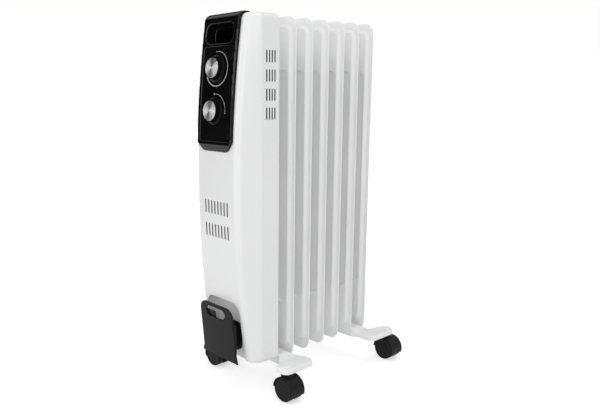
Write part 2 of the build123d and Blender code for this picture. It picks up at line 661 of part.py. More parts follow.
def knob_cap(rest):
    """Metal disc with a notch that shows the setting, turned clockwise from the top at rest."""
    cap = slab(Circle(CAP_RADIUS), KNOB_FACE - CAP_SEAT, KNOB_FACE + CAP_PROUD)
    notch = Pos(0, CAP_RADIUS - CAP_NOTCH_LENGTH / 2) * Rectangle(CAP_NOTCH_WIDTH, CAP_NOTCH_LENGTH)
    cap -= slab(notch, KNOB_FACE, KNOB_FACE + CAP_PROUD)
    return Rot(0, 0, -rest) * cap


def control_nut():
    """Hexagon nut that holds a switch bush to the panel."""
    nut = slab(RegularPolygon(NUT_ACROSS_FLATS / math.sqrt(3), 6), NUT_SEAT, NUT_SEAT + NUT_HEIGHT)
    return nut - slab(Circle(BUSH_RADIUS), NUT_SEAT, NUT_SEAT + NUT_HEIGHT)


def heat_shield():
    """Sheet clamped on the gallery stubs, with a foot that the control box is screwed to."""
    low = BOX_BOTTOM + BOX_WALL + SHIELD_FOOT_GAP
    high = BOX_TOP - SHIELD_TOP_DROP
    sheet_y = (SHIELD_FRONT_Y, SHIELD_BACK_Y)
    sheet = block((-SHIELD_HALF_WIDTH, SHIELD_HALF_WIDTH), sheet_y, (low + EDGE_ROUND, high))
    foot_x = (SHIELD_FOOT_LEFT, SHIELD_FOOT_RIGHT)
    sheet += block(foot_x, (SHIELD_FRONT_Y, SHIELD_BACK_Y), (low, low + EDGE_ROUND))
    sheet += block(foot_x, (SHIELD_FRONT_Y - SHIELD_FOOT_DEPTH, SHIELD_BACK_Y), (low, low + SHIELD_SHEET))
    for z in (GALLERY_LOW_Z, GALLERY_HIGH_Z):
        sheet -= bar_y(GALLERY_BORE, SHIELD_FRONT_Y, SHIELD_BACK_Y, z=z)
    for x, y in screw_places()[0]:
        sheet -= bar_z(SCREW_RADIUS, low, low + SHIELD_SHEET, x, y)
    return sheet


def thermal_cutout():
    """Snap disc switch on the heat shield."""
    z = GALLERY_LOW_Z + CUTOUT_HEIGHT_ABOVE_GALLERY
    flange = bar_y(CUTOUT_FLANGE_RADIUS, SHIELD_FRONT_Y - CUTOUT_FLANGE, SHIELD_FRONT_Y, z=z)
    front = SHIELD_FRONT_Y - CUTOUT_FLANGE - CUTOUT_HEIGHT
    body = flange + bar_y(CUTOUT_RADIUS, front, SHIELD_FRONT_Y, z=z)
    for x in (-CUTOUT_RADIUS / 2, CUTOUT_RADIUS / 2):
        x_span = (x - TAB_THICKNESS / 2, x + TAB_THICKNESS / 2)
        body += block(x_span, (front - TAB_LENGTH, front), (z - TAB_WIDTH / 2, z + TAB_WIDTH / 2))
    return body


def terminal_block():
    """Moulded block with a screw well for each conductor."""
    z = GALLERY_LOW_Z + TERMINAL_HEIGHT_ABOVE_GALLERY
    front = SHIELD_FRONT_Y - TERMINAL_BLOCK_DEPTH
    half_width = TERMINAL_BLOCK_WIDTH / 2
    half_height = TERMINAL_BLOCK_HEIGHT / 2
    body = block((-half_width, half_width), (front, SHIELD_FRONT_Y), (z - half_height, z + half_height))
    for x_place in GridLocations(TERMINAL_PITCH, 1, TERMINAL_WAYS, 1):
        x = x_place.position.X
        body -= bar_y(TERMINAL_WELL_RADIUS, front, front + TERMINAL_WELL_DEPTH, x, z)
    return body


def cord_gland():
    """Bush in the floor of the control box, with a clear bore for the supply cord."""
    y = BOX_BACK_Y - GLAND_SETBACK
    bush = bar_z(GLAND_HEAD, BOX_BOTTOM - GLAND_HEAD_HEIGHT, BOX_BOTTOM, GLAND_X, y)
    bush += bar_z(GLAND_NECK, BOX_BOTTOM, BOX_BOTTOM + BOX_WALL + GLAND_TAIL, GLAND_X, y)
    bore_top = BOX_BOTTOM + BOX_WALL + GLAND_TAIL
    return bush - bar_z(GLAND_BORE, BOX_BOTTOM - GLAND_HEAD_HEIGHT, bore_top, GLAND_X, y)


def cord_winder():
    """Plate tilted to the front, with flared side skirts, a hand slot with a cord clip, and a core."""
    foot = BOX_BOTTOM + WINDER_FOOT
    top = BOX_BOTTOM + WINDER_TOP
    tilt = math.radians(WINDER_TILT)
    pivot = (0, WINDER_Y, BOX_BOTTOM + WINDER_TILT_HEIGHT)
    plane = Plane(pivot, x_dir=(1, 0, 0), z_dir=(0, -math.sin(tilt), math.cos(tilt)))
    radius = (WINDER_HALF_WIDTH**2 + WINDER_DOME**2) / (2 * WINDER_DOME)

    def behind(depth):
        """All that lies more than a depth behind the plate's front."""
        return plane * extrude(Pos(0, radius) * Circle(radius - depth), amount=FAR, both=True)

    outline = rounded(WINDER_HALF_WIDTH, foot - WINDER_CORNER, top, WINDER_CORNER)
    outline &= Pos(0, foot + FAR / 2) * Rectangle(FAR, FAR)
    front = WINDER_Y - RECESS_DEPTH
    solid = prism_y(outline, front, WINDER_SKIRT_Y + RECESS_DEPTH)
    plate = (solid & behind(0)) - behind(WINDER_PLATE)
    inner = rounded(WINDER_HALF_WIDTH - WINDER_SKIRT_WALL, foot - WINDER_CORNER, top, WINDER_CORNER)
    ring = solid - prism_y(inner, front, WINDER_SKIRT_Y + RECESS_DEPTH)
    skirt_z = (foot, BOX_BOTTOM + WINDER_SKIRT_HIGH)
    plate += ring & behind(0) & block((-FAR, FAR), (front, WINDER_SKIRT_Y), skirt_z)
    for side in (-1, 1):
        flare = Polyline(
            (side * (WINDER_HALF_WIDTH - WINDER_SKIRT_WALL), foot),
            (side * (WINDER_HALF_WIDTH + WINDER_FLARE), foot),
            (side * (WINDER_HALF_WIDTH - WINDER_SKIRT_WALL), foot + WINDER_FLARE_HEIGHT),
            close=True,
        )
        plate += prism_y(make_face(flare), WINDER_SKIRT_Y - WINDER_SKIRT_WALL, WINDER_SKIRT_Y)
    slot_low = BOX_BOTTOM + WINDER_SLOT_LOW
    slot = rounded(WINDER_SLOT_HALF_WIDTH, slot_low, BOX_BOTTOM + WINDER_SLOT_HIGH, WINDER_SLOT_CORNER)
    plate -= prism_y(slot, front, WINDER_SKIRT_Y)
    clip_x = (-WINDER_SLOT_HALF_WIDTH - CLIP_LAP, CLIP_LENGTH - WINDER_SLOT_HALF_WIDTH)
    clip_z = (slot_low - CLIP_LAP, BOX_BOTTOM + CLIP_TOP)
    clip = block(clip_x, (front, RECESS_BACK_Y), clip_z)
    plate += (clip & behind(WINDER_PLATE - CLIP_SEAT)) - behind(WINDER_PLATE + CLIP_SHEET)
    core_low = BOX_BOTTOM + CORE_LOW
    core_high = BOX_BOTTOM + CORE_HIGH
    core = prism_y(rounded(CORE_HALF_WIDTH, core_low, core_high, CORE_CORNER), front, RECESS_BACK_Y)
    flange = rounded(
        CORE_HALF_WIDTH + CORE_FLANGE_RIM,
        core_low - CORE_FLANGE_RIM,
        core_high + CORE_FLANGE_RIM,
        CORE_CORNER + CORE_FLANGE_RIM,
    )
    winder = plate + (core & behind(WINDER_PLATE))
    winder += prism_y(flange, RECESS_BACK_Y - CORE_FLANGE, RECESS_BACK_Y)
    for x, z in screw_places()[1]:
        winder -= bar_y(SCREW_RADIUS, RECESS_BACK_Y - SCREW_BITE, RECESS_BACK_Y, x, z)
    return winder


def screws():
    """Pan head screws: up into the shield's foot, and forward into the winder's core."""
    floor, wall = screw_places()
    shield_top = BOX_BOTTOM + BOX_WALL + SHIELD_FOOT_GAP + SHIELD_SHEET
    housing = []
    for x, y in floor:
        head = bar_z(SCREW_HEAD_RADIUS, BOX_BOTTOM - SCREW_HEAD_HEIGHT, BOX_BOTTOM, x, y)
        housing.append(head + bar_z(SCREW_RADIUS, BOX_BOTTOM, shield_top + SCREW_RADIUS, x, y))
    winder = []
    seat = RECESS_BACK_Y + BOX_WALL
    for x, z in wall:
        head = bar_y(SCREW_HEAD_RADIUS, seat, seat + SCREW_HEAD_HEIGHT, x, z)
        winder.append(head + bar_y(SCREW_RADIUS, RECESS_BACK_Y - SCREW_BITE, seat, x, z))
    return group(housing), group(winder)


def bracket_outline(bar_at, foot_span, neck_span, inset):
    """Plan of a foot bracket: a bar with a wide foot at each end."""
    bar_half = BAR_HALF_WIDTH
    half = Polyline(
        (0, -bar_half),
        (BAR_REACH, -bar_half),
        (FOOT_NECK, neck_span[0]),
        (FOOT_START, foot_span[0]),
        (FOOT_REACH, foot_span[0]),
        (FOOT_REACH, foot_span[1]),
        (FOOT_START, foot_span[1]),
        (FOOT_NECK, neck_span[1]),
        (BAR_REACH, bar_half),
        (0, bar_half),
        close=True,
    )
    face = make_face(half)
    outer = [corner for corner in face.vertices() if corner.X > FOOT_REACH - BRACKET_SHEET]
    face = fillet(outer, FOOT_CORNER)
    near, far = BAR_REACH - BRACKET_SHEET, FOOT_START + BRACKET_SHEET
    inner = [corner for corner in face.vertices() if near < corner.X < far]
    face = fillet(inner, NECK_CORNER)
    face += mirror(face, about=Plane.YZ)
    if inset:
        face = offset(face, -inset)
    return Pos(0, bar_at) * face


def bracket_body(bar_at, foot_span, neck_span, inset):
    """Bracket block under the pressed top: level bar, sloping neck and level foot."""
    top = [(0, BAR_TOP), (BAR_REACH, BAR_TOP), (FOOT_NECK, FOOT_TOP), (FAR, FOOT_TOP)]
    low = [(FAR, FOOT_BOTTOM), (FOOT_NECK, FOOT_BOTTOM), (BAR_REACH, BAR_BOTTOM), (0, BAR_BOTTOM)]
    side = make_face(Polyline(*[(x, z - inset) for x, z in top + low], close=True))
    side += mirror(side, about=Plane.YZ)
    tall = prism_y(side, bar_at - FAR, bar_at + FAR)
    plan = slab(bracket_outline(bar_at, foot_span, neck_span, inset), 0, BAR_TOP + BAR_BOTTOM)
    return tall & plan


def foot_bracket(bar_at, foot_span, neck_span, caster_at):
    """Pressed bracket, open below, with two saddle plates that hold the lower gallery."""
    bracket = bracket_body(bar_at, foot_span, neck_span, 0)
    bracket -= bracket_body(bar_at, foot_span, neck_span, BRACKET_SHEET)
    saddle_x = (-SADDLE_HALF_WIDTH, SADDLE_HALF_WIDTH)
    for y in (bar_at - SADDLE_OFFSET, bar_at + SADDLE_OFFSET):
        y_span = (y - BRACKET_SHEET / 2, y + BRACKET_SHEET / 2)
        bracket += block(saddle_x, y_span, (BAR_TOP, BAR_TOP + SADDLE_HEIGHT))
    seat = GALLERY_RADIUS + SADDLE_CLEARANCE
    bracket -= bar_y(seat, bar_at - BAR_HALF_WIDTH, bar_at + BAR_HALF_WIDTH, z=GALLERY_LOW_Z)
    for side in (-1, 1):
        bracket -= bar_z(ROD_RADIUS + ROD_CLEARANCE, BAR_BOTTOM, BAR_TOP, side * rod_x(), bar_at)
        bracket -= bar_z(STEM_RADIUS, FOOT_BOTTOM, FOOT_TOP, side * CASTER_X, caster_at)
    return bracket


def rod_x():
    """Distance of a clamp rod's leg from the centre line."""
    return GALLERY_RADIUS + ROD_CLEARANCE + ROD_RADIUS


def u_bolt(bar_at):
    """Bent rod over the lower gallery with both legs through the bracket."""
    x = rod_x()
    low = BAR_TOP - BRACKET_SHEET - ROD_TAIL
    left = Line((-x, bar_at, low), (-x, bar_at, GALLERY_LOW_Z))
    right = Line((x, bar_at, GALLERY_LOW_Z), (x, bar_at, low))
    over = ThreePointArc(left @ 1, (0, bar_at, GALLERY_LOW_Z + x), right @ 0)
    return sweep(Plane(left @ 0, z_dir=(0, 0, 1)) * Circle(ROD_RADIUS), path=left + over + right)


def wing_nuts(bar_at):
    """Pair of wing nuts under the bracket's bar."""
    top = BAR_TOP - BRACKET_SHEET
    nuts = []
    for x in (-rod_x(), rod_x()):
        nut = bar_z(WING_NUT_RADIUS, top - WING_NUT_HEIGHT, top, x, bar_at)
        wing_z = (top - WING_HEIGHT - ROD_RADIUS, top - ROD_RADIUS)
        y_span = (bar_at - WING_THICKNESS / 2, bar_at + WING_THICKNESS / 2)
        nut += block((x - WING_REACH, x + WING_REACH), y_span, wing_z)
        nuts.append(nut - bar_z(ROD_RADIUS, top - WING_NUT_HEIGHT - WING_HEIGHT, top, x, bar_at))
    return group(nuts)


def caster_hood():
    """Hood over both wheels with a middle web for the axle and a tower round the stem."""
    hood = bar_y(HOOD_OUTER, -HOOD_HALF_WIDTH, HOOD_HALF_WIDTH, CASTER_TRAIL, WHEEL_RADIUS)
    hood += bar_z(TOWER_RADIUS, WHEEL_RADIUS, TOWER_TOP)
    hood -= bar_y(HOOD_INNER, -HOOD_HALF_WIDTH, HOOD_HALF_WIDTH, CASTER_TRAIL, WHEEL_RADIUS)
    hood += bar_y(HOOD_OUTER, -HOOD_WEB / 2, HOOD_WEB / 2, CASTER_TRAIL, WHEEL_RADIUS)
    opening = Polyline(
        (CASTER_TRAIL - FAR, WHEEL_RADIUS + HOOD_INNER_RISE),
        (CASTER_TRAIL - AXLE_RADIUS, WHEEL_RADIUS + HOOD_INNER_RISE),
        (CASTER_TRAIL - AXLE_RADIUS, WHEEL_RADIUS - HOOD_OUTER_DROP),
        (CASTER_TRAIL + FAR, WHEEL_RADIUS - HOOD_OUTER_DROP),
        (CASTER_TRAIL + FAR, -FAR),
        (CASTER_TRAIL - FAR, -FAR),
        close=True,
    )
    hood -= prism_y(make_face(opening), -FAR, FAR)
    hub = 2 * AXLE_RADIUS
    hood += bar_y(hub, -HOOD_WEB / 2, HOOD_WEB / 2, CASTER_TRAIL, WHEEL_RADIUS)
    hood -= bar_y(AXLE_RADIUS + AXLE_FIT, -FAR, FAR, CASTER_TRAIL, WHEEL_RADIUS)
    return hood - bar_z(STEM_RADIUS + STEM_FIT, stem_low(), TOWER_TOP)


def stem_low():
    """Height of the stem's lower end, above the wheels."""
    return WHEEL_RADIUS + HOOD_INNER + STEM_TIP_GAP


def caster_stem():
    """Stem with a collar under the foot and a riveted head on it."""
    collar_low = TOWER_TOP + STEM_COLLAR_GAP
    collar_high = FOOT_TOP - BRACKET_SHEET
    stem = bar_z(STEM_RADIUS, stem_low() + STEM_COLLAR_GAP, FOOT_TOP)
    stem += bar_z(STEM_COLLAR, collar_low, collar_high)
    head = bar_z(STEM_HEAD_RADIUS, FOOT_TOP, FOOT_TOP + STEM_HEAD_HEIGHT)
    head = chamfer(head.faces().sort_by(Axis.Z)[-1].edges(), STEM_HEAD_CHAMFER)
    return stem + head


def caster_axle():
    """Plain axle through the hood's web."""
    reach = WHEEL_OUTER_Y - AXLE_COVER
    return bar_y(AXLE_RADIUS, -reach, reach, CASTER_TRAIL, WHEEL_RADIUS)


def caster_wheel(side):
    """Wheel with a dished outer face and a blind bore; side is -1 in front, 1 behind."""
    rim = WHEEL_RADIUS - WHEEL_RIM
    profile = Polyline(
        (0, WHEEL_INNER_Y),
        (WHEEL_RADIUS - WHEEL_ROUND, WHEEL_INNER_Y),
        (WHEEL_RADIUS, WHEEL_INNER_Y + WHEEL_ROUND),
        (WHEEL_RADIUS, WHEEL_OUTER_Y - WHEEL_ROUND),
        (WHEEL_RADIUS - WHEEL_ROUND, WHEEL_OUTER_Y),
        (rim, WHEEL_OUTER_Y),
        (rim - WHEEL_DISH, WHEEL_OUTER_Y - WHEEL_DISH),
        (0, WHEEL_OUTER_Y - WHEEL_DISH),
        close=True,
    )
    wheel = revolve(make_face(profile), axis=Axis.Y)
    wheel -= bar_y(AXLE_RADIUS + WHEEL_FIT, WHEEL_INNER_Y, WHEEL_OUTER_Y - AXLE_COVER + WHEEL_WEB_GAP)
    if side < 0:
        wheel = mirror(wheel, about=Plane.XZ)
    return Pos(CASTER_TRAIL, 0, WHEEL_RADIUS) * wheel


def casters():
    """Four casters, mirrored from right to left so that they trail outwards."""
    pieces = {
        "hood": caster_hood(),
        "stem": caster_stem(),
        "axle": caster_axle(),
        "front_wheel": caster_wheel(-1),
        "rear_wheel": caster_wheel(1),
    }
    ends = {"front": FRONT_BAR_Y + FRONT_CASTER_OFFSET, "rear": REAR_BAR_Y + REAR_CASTER_OFFSET}
    for end, y in ends.items():
        for name, piece in pieces.items():
            right = Pos(CASTER_X, y, 0) * piece
            yield f"caster_{end}_right_{name}", right
            yield f"caster_{end}_left_{name}", mirror(right, about=Plane.YZ)


def rotary_control(name, drop, size, rest):
    """Switch, spindle, knob and cap of one control, set square to the bow."""
    plane = bow_plane(BOX_TOP - drop)
    spindle = slab(Circle(SPINDLE_RADIUS), CASE_FACE - SPINDLE_TAIL, SPINDLE_TIP)
    yield f"{name}_case", plane * control_case(size)
    yield f"{name}_spindle", plane * spindle
    yield f"{name}_knob", plane * knob()
    yield f"{name}_cap", plane * knob_cap(rest)


def heater():
    """Every piece of the heater by name."""
    pressed_fin = fin()
    for number, y in enumerate(FIN_Y, start=1):
        yield f"fin_{number}", Pos(0, y, 0) * pressed_fin
    yield "lower_gallery_sleeves", gallery_sleeves(GALLERY_LOW_Z)
    yield "upper_gallery_sleeves", gallery_sleeves(GALLERY_HIGH_Z)
    yield "lower_end_cap", end_cap(GALLERY_LOW_Z)
    yield "upper_end_cap", end_cap(GALLERY_HIGH_Z)
    yield "element_flange", gallery_plug(GALLERY_LOW_Z)
    yield "filler_plug", gallery_plug(GALLERY_HIGH_Z)
    yield "heating_elements", heating_elements()
    yield "heat_shield", heat_shield()
    yield "thermal_cutout", thermal_cutout()
    yield "terminal_block", terminal_block()
    yield "control_box", control_box()
    yield "control_panel", control_panel()
    yield from rotary_control("thermostat", THERMOSTAT_DROP, THERMOSTAT_CASE, THERMOSTAT_REST)
    yield from rotary_control("selector", SELECTOR_DROP, SELECTOR_CASE, SELECTOR_REST)
    nuts = [bow_plane(BOX_TOP - drop) * control_nut() for drop in (THERMOSTAT_DROP, SELECTOR_DROP)]
    yield "control_nuts", group(nuts)
    yield "cord_gland", cord_gland()
    yield "cord_winder", cord_winder()
    housing_screws, winder_screws = screws()
    yield "housing_screws", housing_screws
    yield "winder_screws", winder_screws
    front = (FRONT_BAR_Y, FRONT_FOOT_SPAN, FRONT_NECK_SPAN, FRONT_BAR_Y + FRONT_CASTER_OFFSET)
    rear = (REAR_BAR_Y, REAR_FOOT_SPAN, REAR_NECK_SPAN, REAR_BAR_Y + REAR_CASTER_OFFSET)
    for end, sizes in (("front", front), ("rear", rear)):
        yield f"{end}_foot_bracket", foot_bracket(*sizes)
        yield f"{end}_u_bolt", u_bolt(sizes[0])
        yield f"{end}_wing_nuts", wing_nuts(sizes[0])
    yield from casters()


os.makedirs("parts", exist_ok=True)
for node, shape in heater():
    export_step(shape, f"parts/{node}.step")
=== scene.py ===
import math

import bmesh
import bpy
from mathutils import Matrix, Vector
from mathutils.bvhtree import BVHTree


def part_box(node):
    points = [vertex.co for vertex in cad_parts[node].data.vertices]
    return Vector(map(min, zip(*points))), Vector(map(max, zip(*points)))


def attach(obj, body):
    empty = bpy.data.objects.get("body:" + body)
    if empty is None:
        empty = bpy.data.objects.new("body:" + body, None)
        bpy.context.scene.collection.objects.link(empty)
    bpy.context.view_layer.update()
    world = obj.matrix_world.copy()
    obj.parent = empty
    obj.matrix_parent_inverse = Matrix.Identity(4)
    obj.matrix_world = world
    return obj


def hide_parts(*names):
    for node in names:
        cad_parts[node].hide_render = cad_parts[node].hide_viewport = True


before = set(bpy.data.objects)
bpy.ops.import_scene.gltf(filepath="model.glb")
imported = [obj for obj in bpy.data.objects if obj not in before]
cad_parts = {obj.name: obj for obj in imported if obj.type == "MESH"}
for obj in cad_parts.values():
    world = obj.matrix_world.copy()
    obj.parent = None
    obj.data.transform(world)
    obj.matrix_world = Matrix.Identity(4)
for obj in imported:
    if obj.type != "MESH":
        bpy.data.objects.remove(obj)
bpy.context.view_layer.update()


# Radiator fins
# Seven hollow fins, each two pressed steel sheets seam-welded round a flat rim, with a raised oil
# chamber and a sunk web between its two channels; sprayed with white enamel after welding.
FIN_PLACES = (-0.0934, -0.0554, -0.0174, 0.0206, 0.0586, 0.0966, 0.1346)
FIN_HALF_WIDTH, FIN_LOW, FIN_HIGH, FIN_CORNER = 0.06375, 0.0542, 0.6242, 0.018
RIM_HALF_SHEET, RIM_ROUND, SEAM_DEPTH, SEAM_HALF_WIDTH = 0.0008, 0.0005, 0.0002, 0.00015
CHAMBER_HALF_WIDTH, CHAMBER_LOW, CHAMBER_HIGH, CHAMBER_CORNER = 0.0585, 0.0675, 0.6145, 0.0175
CHAMBER_FLANK, CHAMBER_RISE = 0.0085, 0.004
WEB_HALF_WIDTH, WEB_LOW, WEB_HIGH, WEB_CORNER = 0.0496, 0.147, 0.5425, 0.0135
WEB_FLANK, WEB_SINK = 0.004, 0.0034
FLANK_STEPS, CORNER_STEPS, ROUND_SHARE = 8, 12, 0.3
MID_HEIGHT, TONE_LOW, TONE_HIGH, MERGE = 0.31, 0.3, 0.7, 1e-6


def finish(name, dark, light, drift, rough, grain, bump, **sockets):
    """Finish whose colour and gloss drift with a broad noise, over the fine bump of the surface's grain."""
    material = bpy.data.materials.new(name)
    material.use_nodes = True
    nodes, links = material.node_tree.nodes, material.node_tree.links
    shader = nodes["Principled BSDF"]
    for socket, value in sockets.items():
        shader.inputs[socket.replace("_", " ")].default_value = value
    coords = nodes.new("ShaderNodeTexCoord")
    centred = nodes.new("ShaderNodeMapping")
    centred.inputs["Location"].default_value = (0, 0, -MID_HEIGHT)
    links.new(coords.outputs["Object"], centred.inputs["Vector"])
    broad = nodes.new("ShaderNodeTexNoise")
    broad.inputs["Scale"].default_value = drift
    broad.inputs["Detail"].default_value = 4
    links.new(centred.outputs["Vector"], broad.inputs["Vector"])
    ramp = nodes.new("ShaderNodeValToRGB")
    for stop, position, tone in zip(ramp.color_ramp.elements, (TONE_LOW, TONE_HIGH), (dark, light)):
        stop.position = position
        stop.color = (*tone, 1)
    links.new(broad.outputs["Fac"], ramp.inputs["Fac"])
    links.new(ramp.outputs["Color"], shader.inputs["Base Color"])
    gloss = nodes.new("ShaderNodeMapRange")
    gloss.inputs["To Min"].default_value = rough[0]
    gloss.inputs["To Max"].default_value = rough[1]
    links.new(broad.outputs["Fac"], gloss.inputs["Value"])
    links.new(gloss.outputs["Result"], shader.inputs["Roughness"])
    fine = nodes.new("ShaderNodeTexNoise")
    fine.inputs["Scale"].default_value = grain
    fine.inputs["Detail"].default_value = 3
    links.new(centred.outputs["Vector"], fine.inputs["Vector"])
    relief = nodes.new("ShaderNodeBump")
    relief.inputs["Strength"].default_value = bump[0]
    relief.inputs["Distance"].default_value = bump[1]
    links.new(fine.outputs["Fac"], relief.inputs["Height"])
    links.new(relief.outputs["Normal"], shader.inputs["Normal"])
    return material


def piece(name, bm, material, body, nodes=(), sharp=40, even=False):
    """Object of the finished mesh, smooth but for its sharp edges, that rides on a body and stands for nodes."""
    mesh = bpy.data.meshes.new(name)
    bm.normal_update()
    bm.to_mesh(mesh)
    bm.free()
    mesh.shade_smooth()
    mesh.set_sharp_from_angle(angle=math.radians(sharp))
    mesh.materials.append(material)
    made = bpy.data.objects.new(name, mesh)
    bpy.context.scene.collection.objects.link(made)
    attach(made, body)
    if nodes:
        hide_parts(*nodes)
    if even:
        made.modifiers.new("even shading", "WEIGHTED_NORMAL").keep_sharp = True
    return made


def rounded_loop(bm, half_width, low, high, corner, y):
    """Edges of an upright rounded rectangle at a depth, without its face."""
    quad = bmesh.ops.create_grid(bm, x_segments=1, y_segments=1, size=1)["verts"]
    size = Matrix.Diagonal((half_width, (high - low) / 2, 1, 1))
    upright = Matrix.Translation((0, y, (high + low) / 2)) @ Matrix.Rotation(math.pi / 2, 4, "X")
    bmesh.ops.transform(bm, matrix=upright @ size, verts=quad)
    done = bmesh.ops.bevel(
        bm, geom=quad, offset=corner, offset_type="OFFSET", affect="VERTICES",
        segments=CORNER_STEPS, profile=0.5, material=-1,
    )
    edges = list(dict.fromkeys(edge for vert in done["verts"] for edge in vert.link_edges))
    faces = list(dict.fromkeys(face for edge in edges for face in edge.link_faces))
    bmesh.ops.delete(bm, geom=faces, context="FACES_ONLY")
    return edges


def carried(point, old, new):
    """The place on the next rounded rectangle of a point on the corners of the one before."""
    spots = []
    for value, (low, high), (next_low, next_high) in (
        (point.x, (-old[0], old[0]), (-new[0], new[0])), (point.z, old[1:3], new[1:3]),
    ):
        offset = value - (low + high) / 2
        share = (abs(offset) - (high - low) / 2) / old[3]
        spots.append((next_low + next_high) / 2 + math.copysign((next_high - next_low) / 2 + share * new[3], offset))
    return Vector((spots[0], new[4], spots[1]))


def eased(share):
    """Height of a drawn flank, level at its foot and at its head, as a share of its rise."""
    return share * share * (3 - 2 * share)


def fin_section():
    """Loops from the rim's edge to the web: half width, low, high, corner and depth of each."""
    loops = []
    for inset, y in (
        (SEAM_DEPTH, 0), (0, SEAM_HALF_WIDTH), (0, RIM_HALF_SHEET - RIM_ROUND),
        (ROUND_SHARE * RIM_ROUND, RIM_HALF_SHEET - ROUND_SHARE * RIM_ROUND), (RIM_ROUND, RIM_HALF_SHEET),
    ):
        loops.append((FIN_HALF_WIDTH - inset, FIN_LOW + inset, FIN_HIGH - inset, FIN_CORNER - inset, y))
    for step in range(FLANK_STEPS + 1):
        share = step / FLANK_STEPS
        inset = share * CHAMBER_FLANK
        y = RIM_HALF_SHEET + CHAMBER_RISE * eased(share)
        loops.append((
            CHAMBER_HALF_WIDTH - inset, CHAMBER_LOW + inset, CHAMBER_HIGH - inset, CHAMBER_CORNER - inset, y,
        ))
    for step in range(FLANK_STEPS + 1):
        share = step / FLANK_STEPS
        inset = share * WEB_FLANK
        y = RIM_HALF_SHEET + CHAMBER_RISE - WEB_SINK * eased(share)
        loops.append((WEB_HALF_WIDTH - inset, WEB_LOW + inset, WEB_HIGH - inset, WEB_CORNER - inset, y))
    return loops


enamel = finish(
    "white radiator enamel", (0.9, 0.902, 0.904), (0.922, 0.924, 0.925), 9, (0.34, 0.42), 900, (0.06, 0.0004),
)
fin = bmesh.new()
section = fin_section()
ring = rounded_loop(fin, *section[0])
for old, new in zip(section, section[1:]):
    drawn = bmesh.ops.extrude_edge_only(fin, edges=ring)["geom"]
    verts = [item for item in drawn if isinstance(item, bmesh.types.BMVert)]
    for vert in verts:
        vert.co = carried(vert.co, old, new)
    touching = dict.fromkeys(edge for vert in verts for edge in vert.link_edges)
    ring = [edge for edge in touching if set(verts).issuperset(edge.verts)]
bmesh.ops.edgeloop_fill(fin, edges=ring)
bmesh.ops.mirror(fin, geom=fin.verts[:] + fin.edges[:] + fin.faces[:], axis="Y", merge_dist=MERGE)
bmesh.ops.remove_doubles(fin, verts=fin.verts, dist=MERGE)
bmesh.ops.recalc_face_normals(fin, faces=fin.faces)
for number, y in enumerate(FIN_PLACES, 1):
    pressing = fin.copy()
    bmesh.ops.translate(pressing, verts=pressing.verts, vec=(0, y, 0))
    piece(f"fin_{number}_pressing", pressing, enamel, "heater", [f"fin_{number}"])
fin.free()


# Oil galleries and end caps
# Turned steel sleeves welded between the fins join their chambers at the top and the bottom, and a
# pressed cap closes each gallery behind the last fin; all sprayed together with the fins.
ROLL_STEPS, COPY_MERGE, FLAT_ANGLE, END_CAP_EDGE = 5, 2e-6, 0.4, 0.0012


def dress(material, *nodes):
    """Gives CAD nodes that keep their shape their finish."""
    for node in nodes:
        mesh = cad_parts[node].data
        mesh.materials.clear()
        mesh.materials.append(material)


def softened(
    node, width, material, body, steps=2, angle=30, sharp=40, rolled=None, roll=0, edge_look=-1, held=False,
):
    """Merged copy of a node with its hard edges rounded, as moulded or pressed edges are.

    The edges that rolled picks get the wide roll, the rest the width; held keeps narrow faces from crossing.
    """
    bm = bmesh.new()
    bm.from_mesh(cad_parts[node].data)
    bmesh.ops.remove_doubles(bm, verts=bm.verts, dist=COPY_MERGE)
    bmesh.ops.dissolve_limit(bm, angle_limit=math.radians(FLAT_ANGLE), verts=bm.verts, edges=bm.edges)
    for chosen, offset, segments in ((rolled, roll, ROLL_STEPS), (None, width, steps)):
        if not offset:
            continue
        hard = [e for e in bm.edges if len(e.link_faces) == 2 and e.calc_face_angle(0) > math.radians(angle)]
        bmesh.ops.bevel(
            bm, geom=[edge for edge in hard if chosen is None or chosen(edge)], offset=offset, offset_type="OFFSET",
            affect="EDGES", segments=segments, profile=0.5, material=edge_look, clamp_overlap=held,
        )
    bmesh.ops.dissolve_degenerate(bm, dist=MERGE, edges=bm.edges)
    bmesh.ops.recalc_face_normals(bm, faces=bm.faces)
    return piece(f"{node}_form", bm, material, body, [node], sharp, even=True)


for node in ("lower_gallery_sleeves", "upper_gallery_sleeves"):
    softened(node, 0, enamel, "heater")
for node in ("lower_end_cap", "upper_end_cap"):
    softened(node, END_CAP_EDGE, enamel, "heater", 3)


# Heating element and its sealed flange
# Two hairpin tubes of stainless steel brazed into a brass flange that screws into the lower gallery;
# a brass plug closes the filling hole above it.
element_steel = finish(
    "heat-stained stainless steel", (0.33, 0.31, 0.29), (0.48, 0.46, 0.44), 60, (0.3, 0.45), 1500, (0.1, 0.0002),
    Metallic=1.0,
)
brass = finish(
    "turned brass", (0.55, 0.4, 0.16), (0.68, 0.5, 0.22), 80, (0.25, 0.38), 1800, (0.1, 0.0002), Metallic=1.0,
)
dress(element_steel, "heating_elements")
dress(brass, "element_flange", "filler_plug")


# Heat shield, cut-out and switches
# A zinc-plated sheet clamped to the gallery stubs keeps the heat off the controls; the cut-out, the
# terminal block and the two rotary switches are moulded plastic with plated nuts and spindles.
zinc = finish(
    "bright zinc plate", (0.55, 0.56, 0.58), (0.7, 0.71, 0.73), 70, (0.28, 0.42), 1400, (0.1, 0.0002), Metallic=1.0,
)
switch_plastic = finish(
    "moulded switch plastic", (0.02, 0.02, 0.021), (0.035, 0.035, 0.036), 90, (0.45, 0.6), 2500, (0.2, 0.0002),
)
dress(zinc, "heat_shield", "thermostat_spindle", "selector_spindle", "control_nuts")
dress(switch_plastic, "thermal_cutout", "terminal_block", "thermostat_case", "selector_case", "cord_gland")


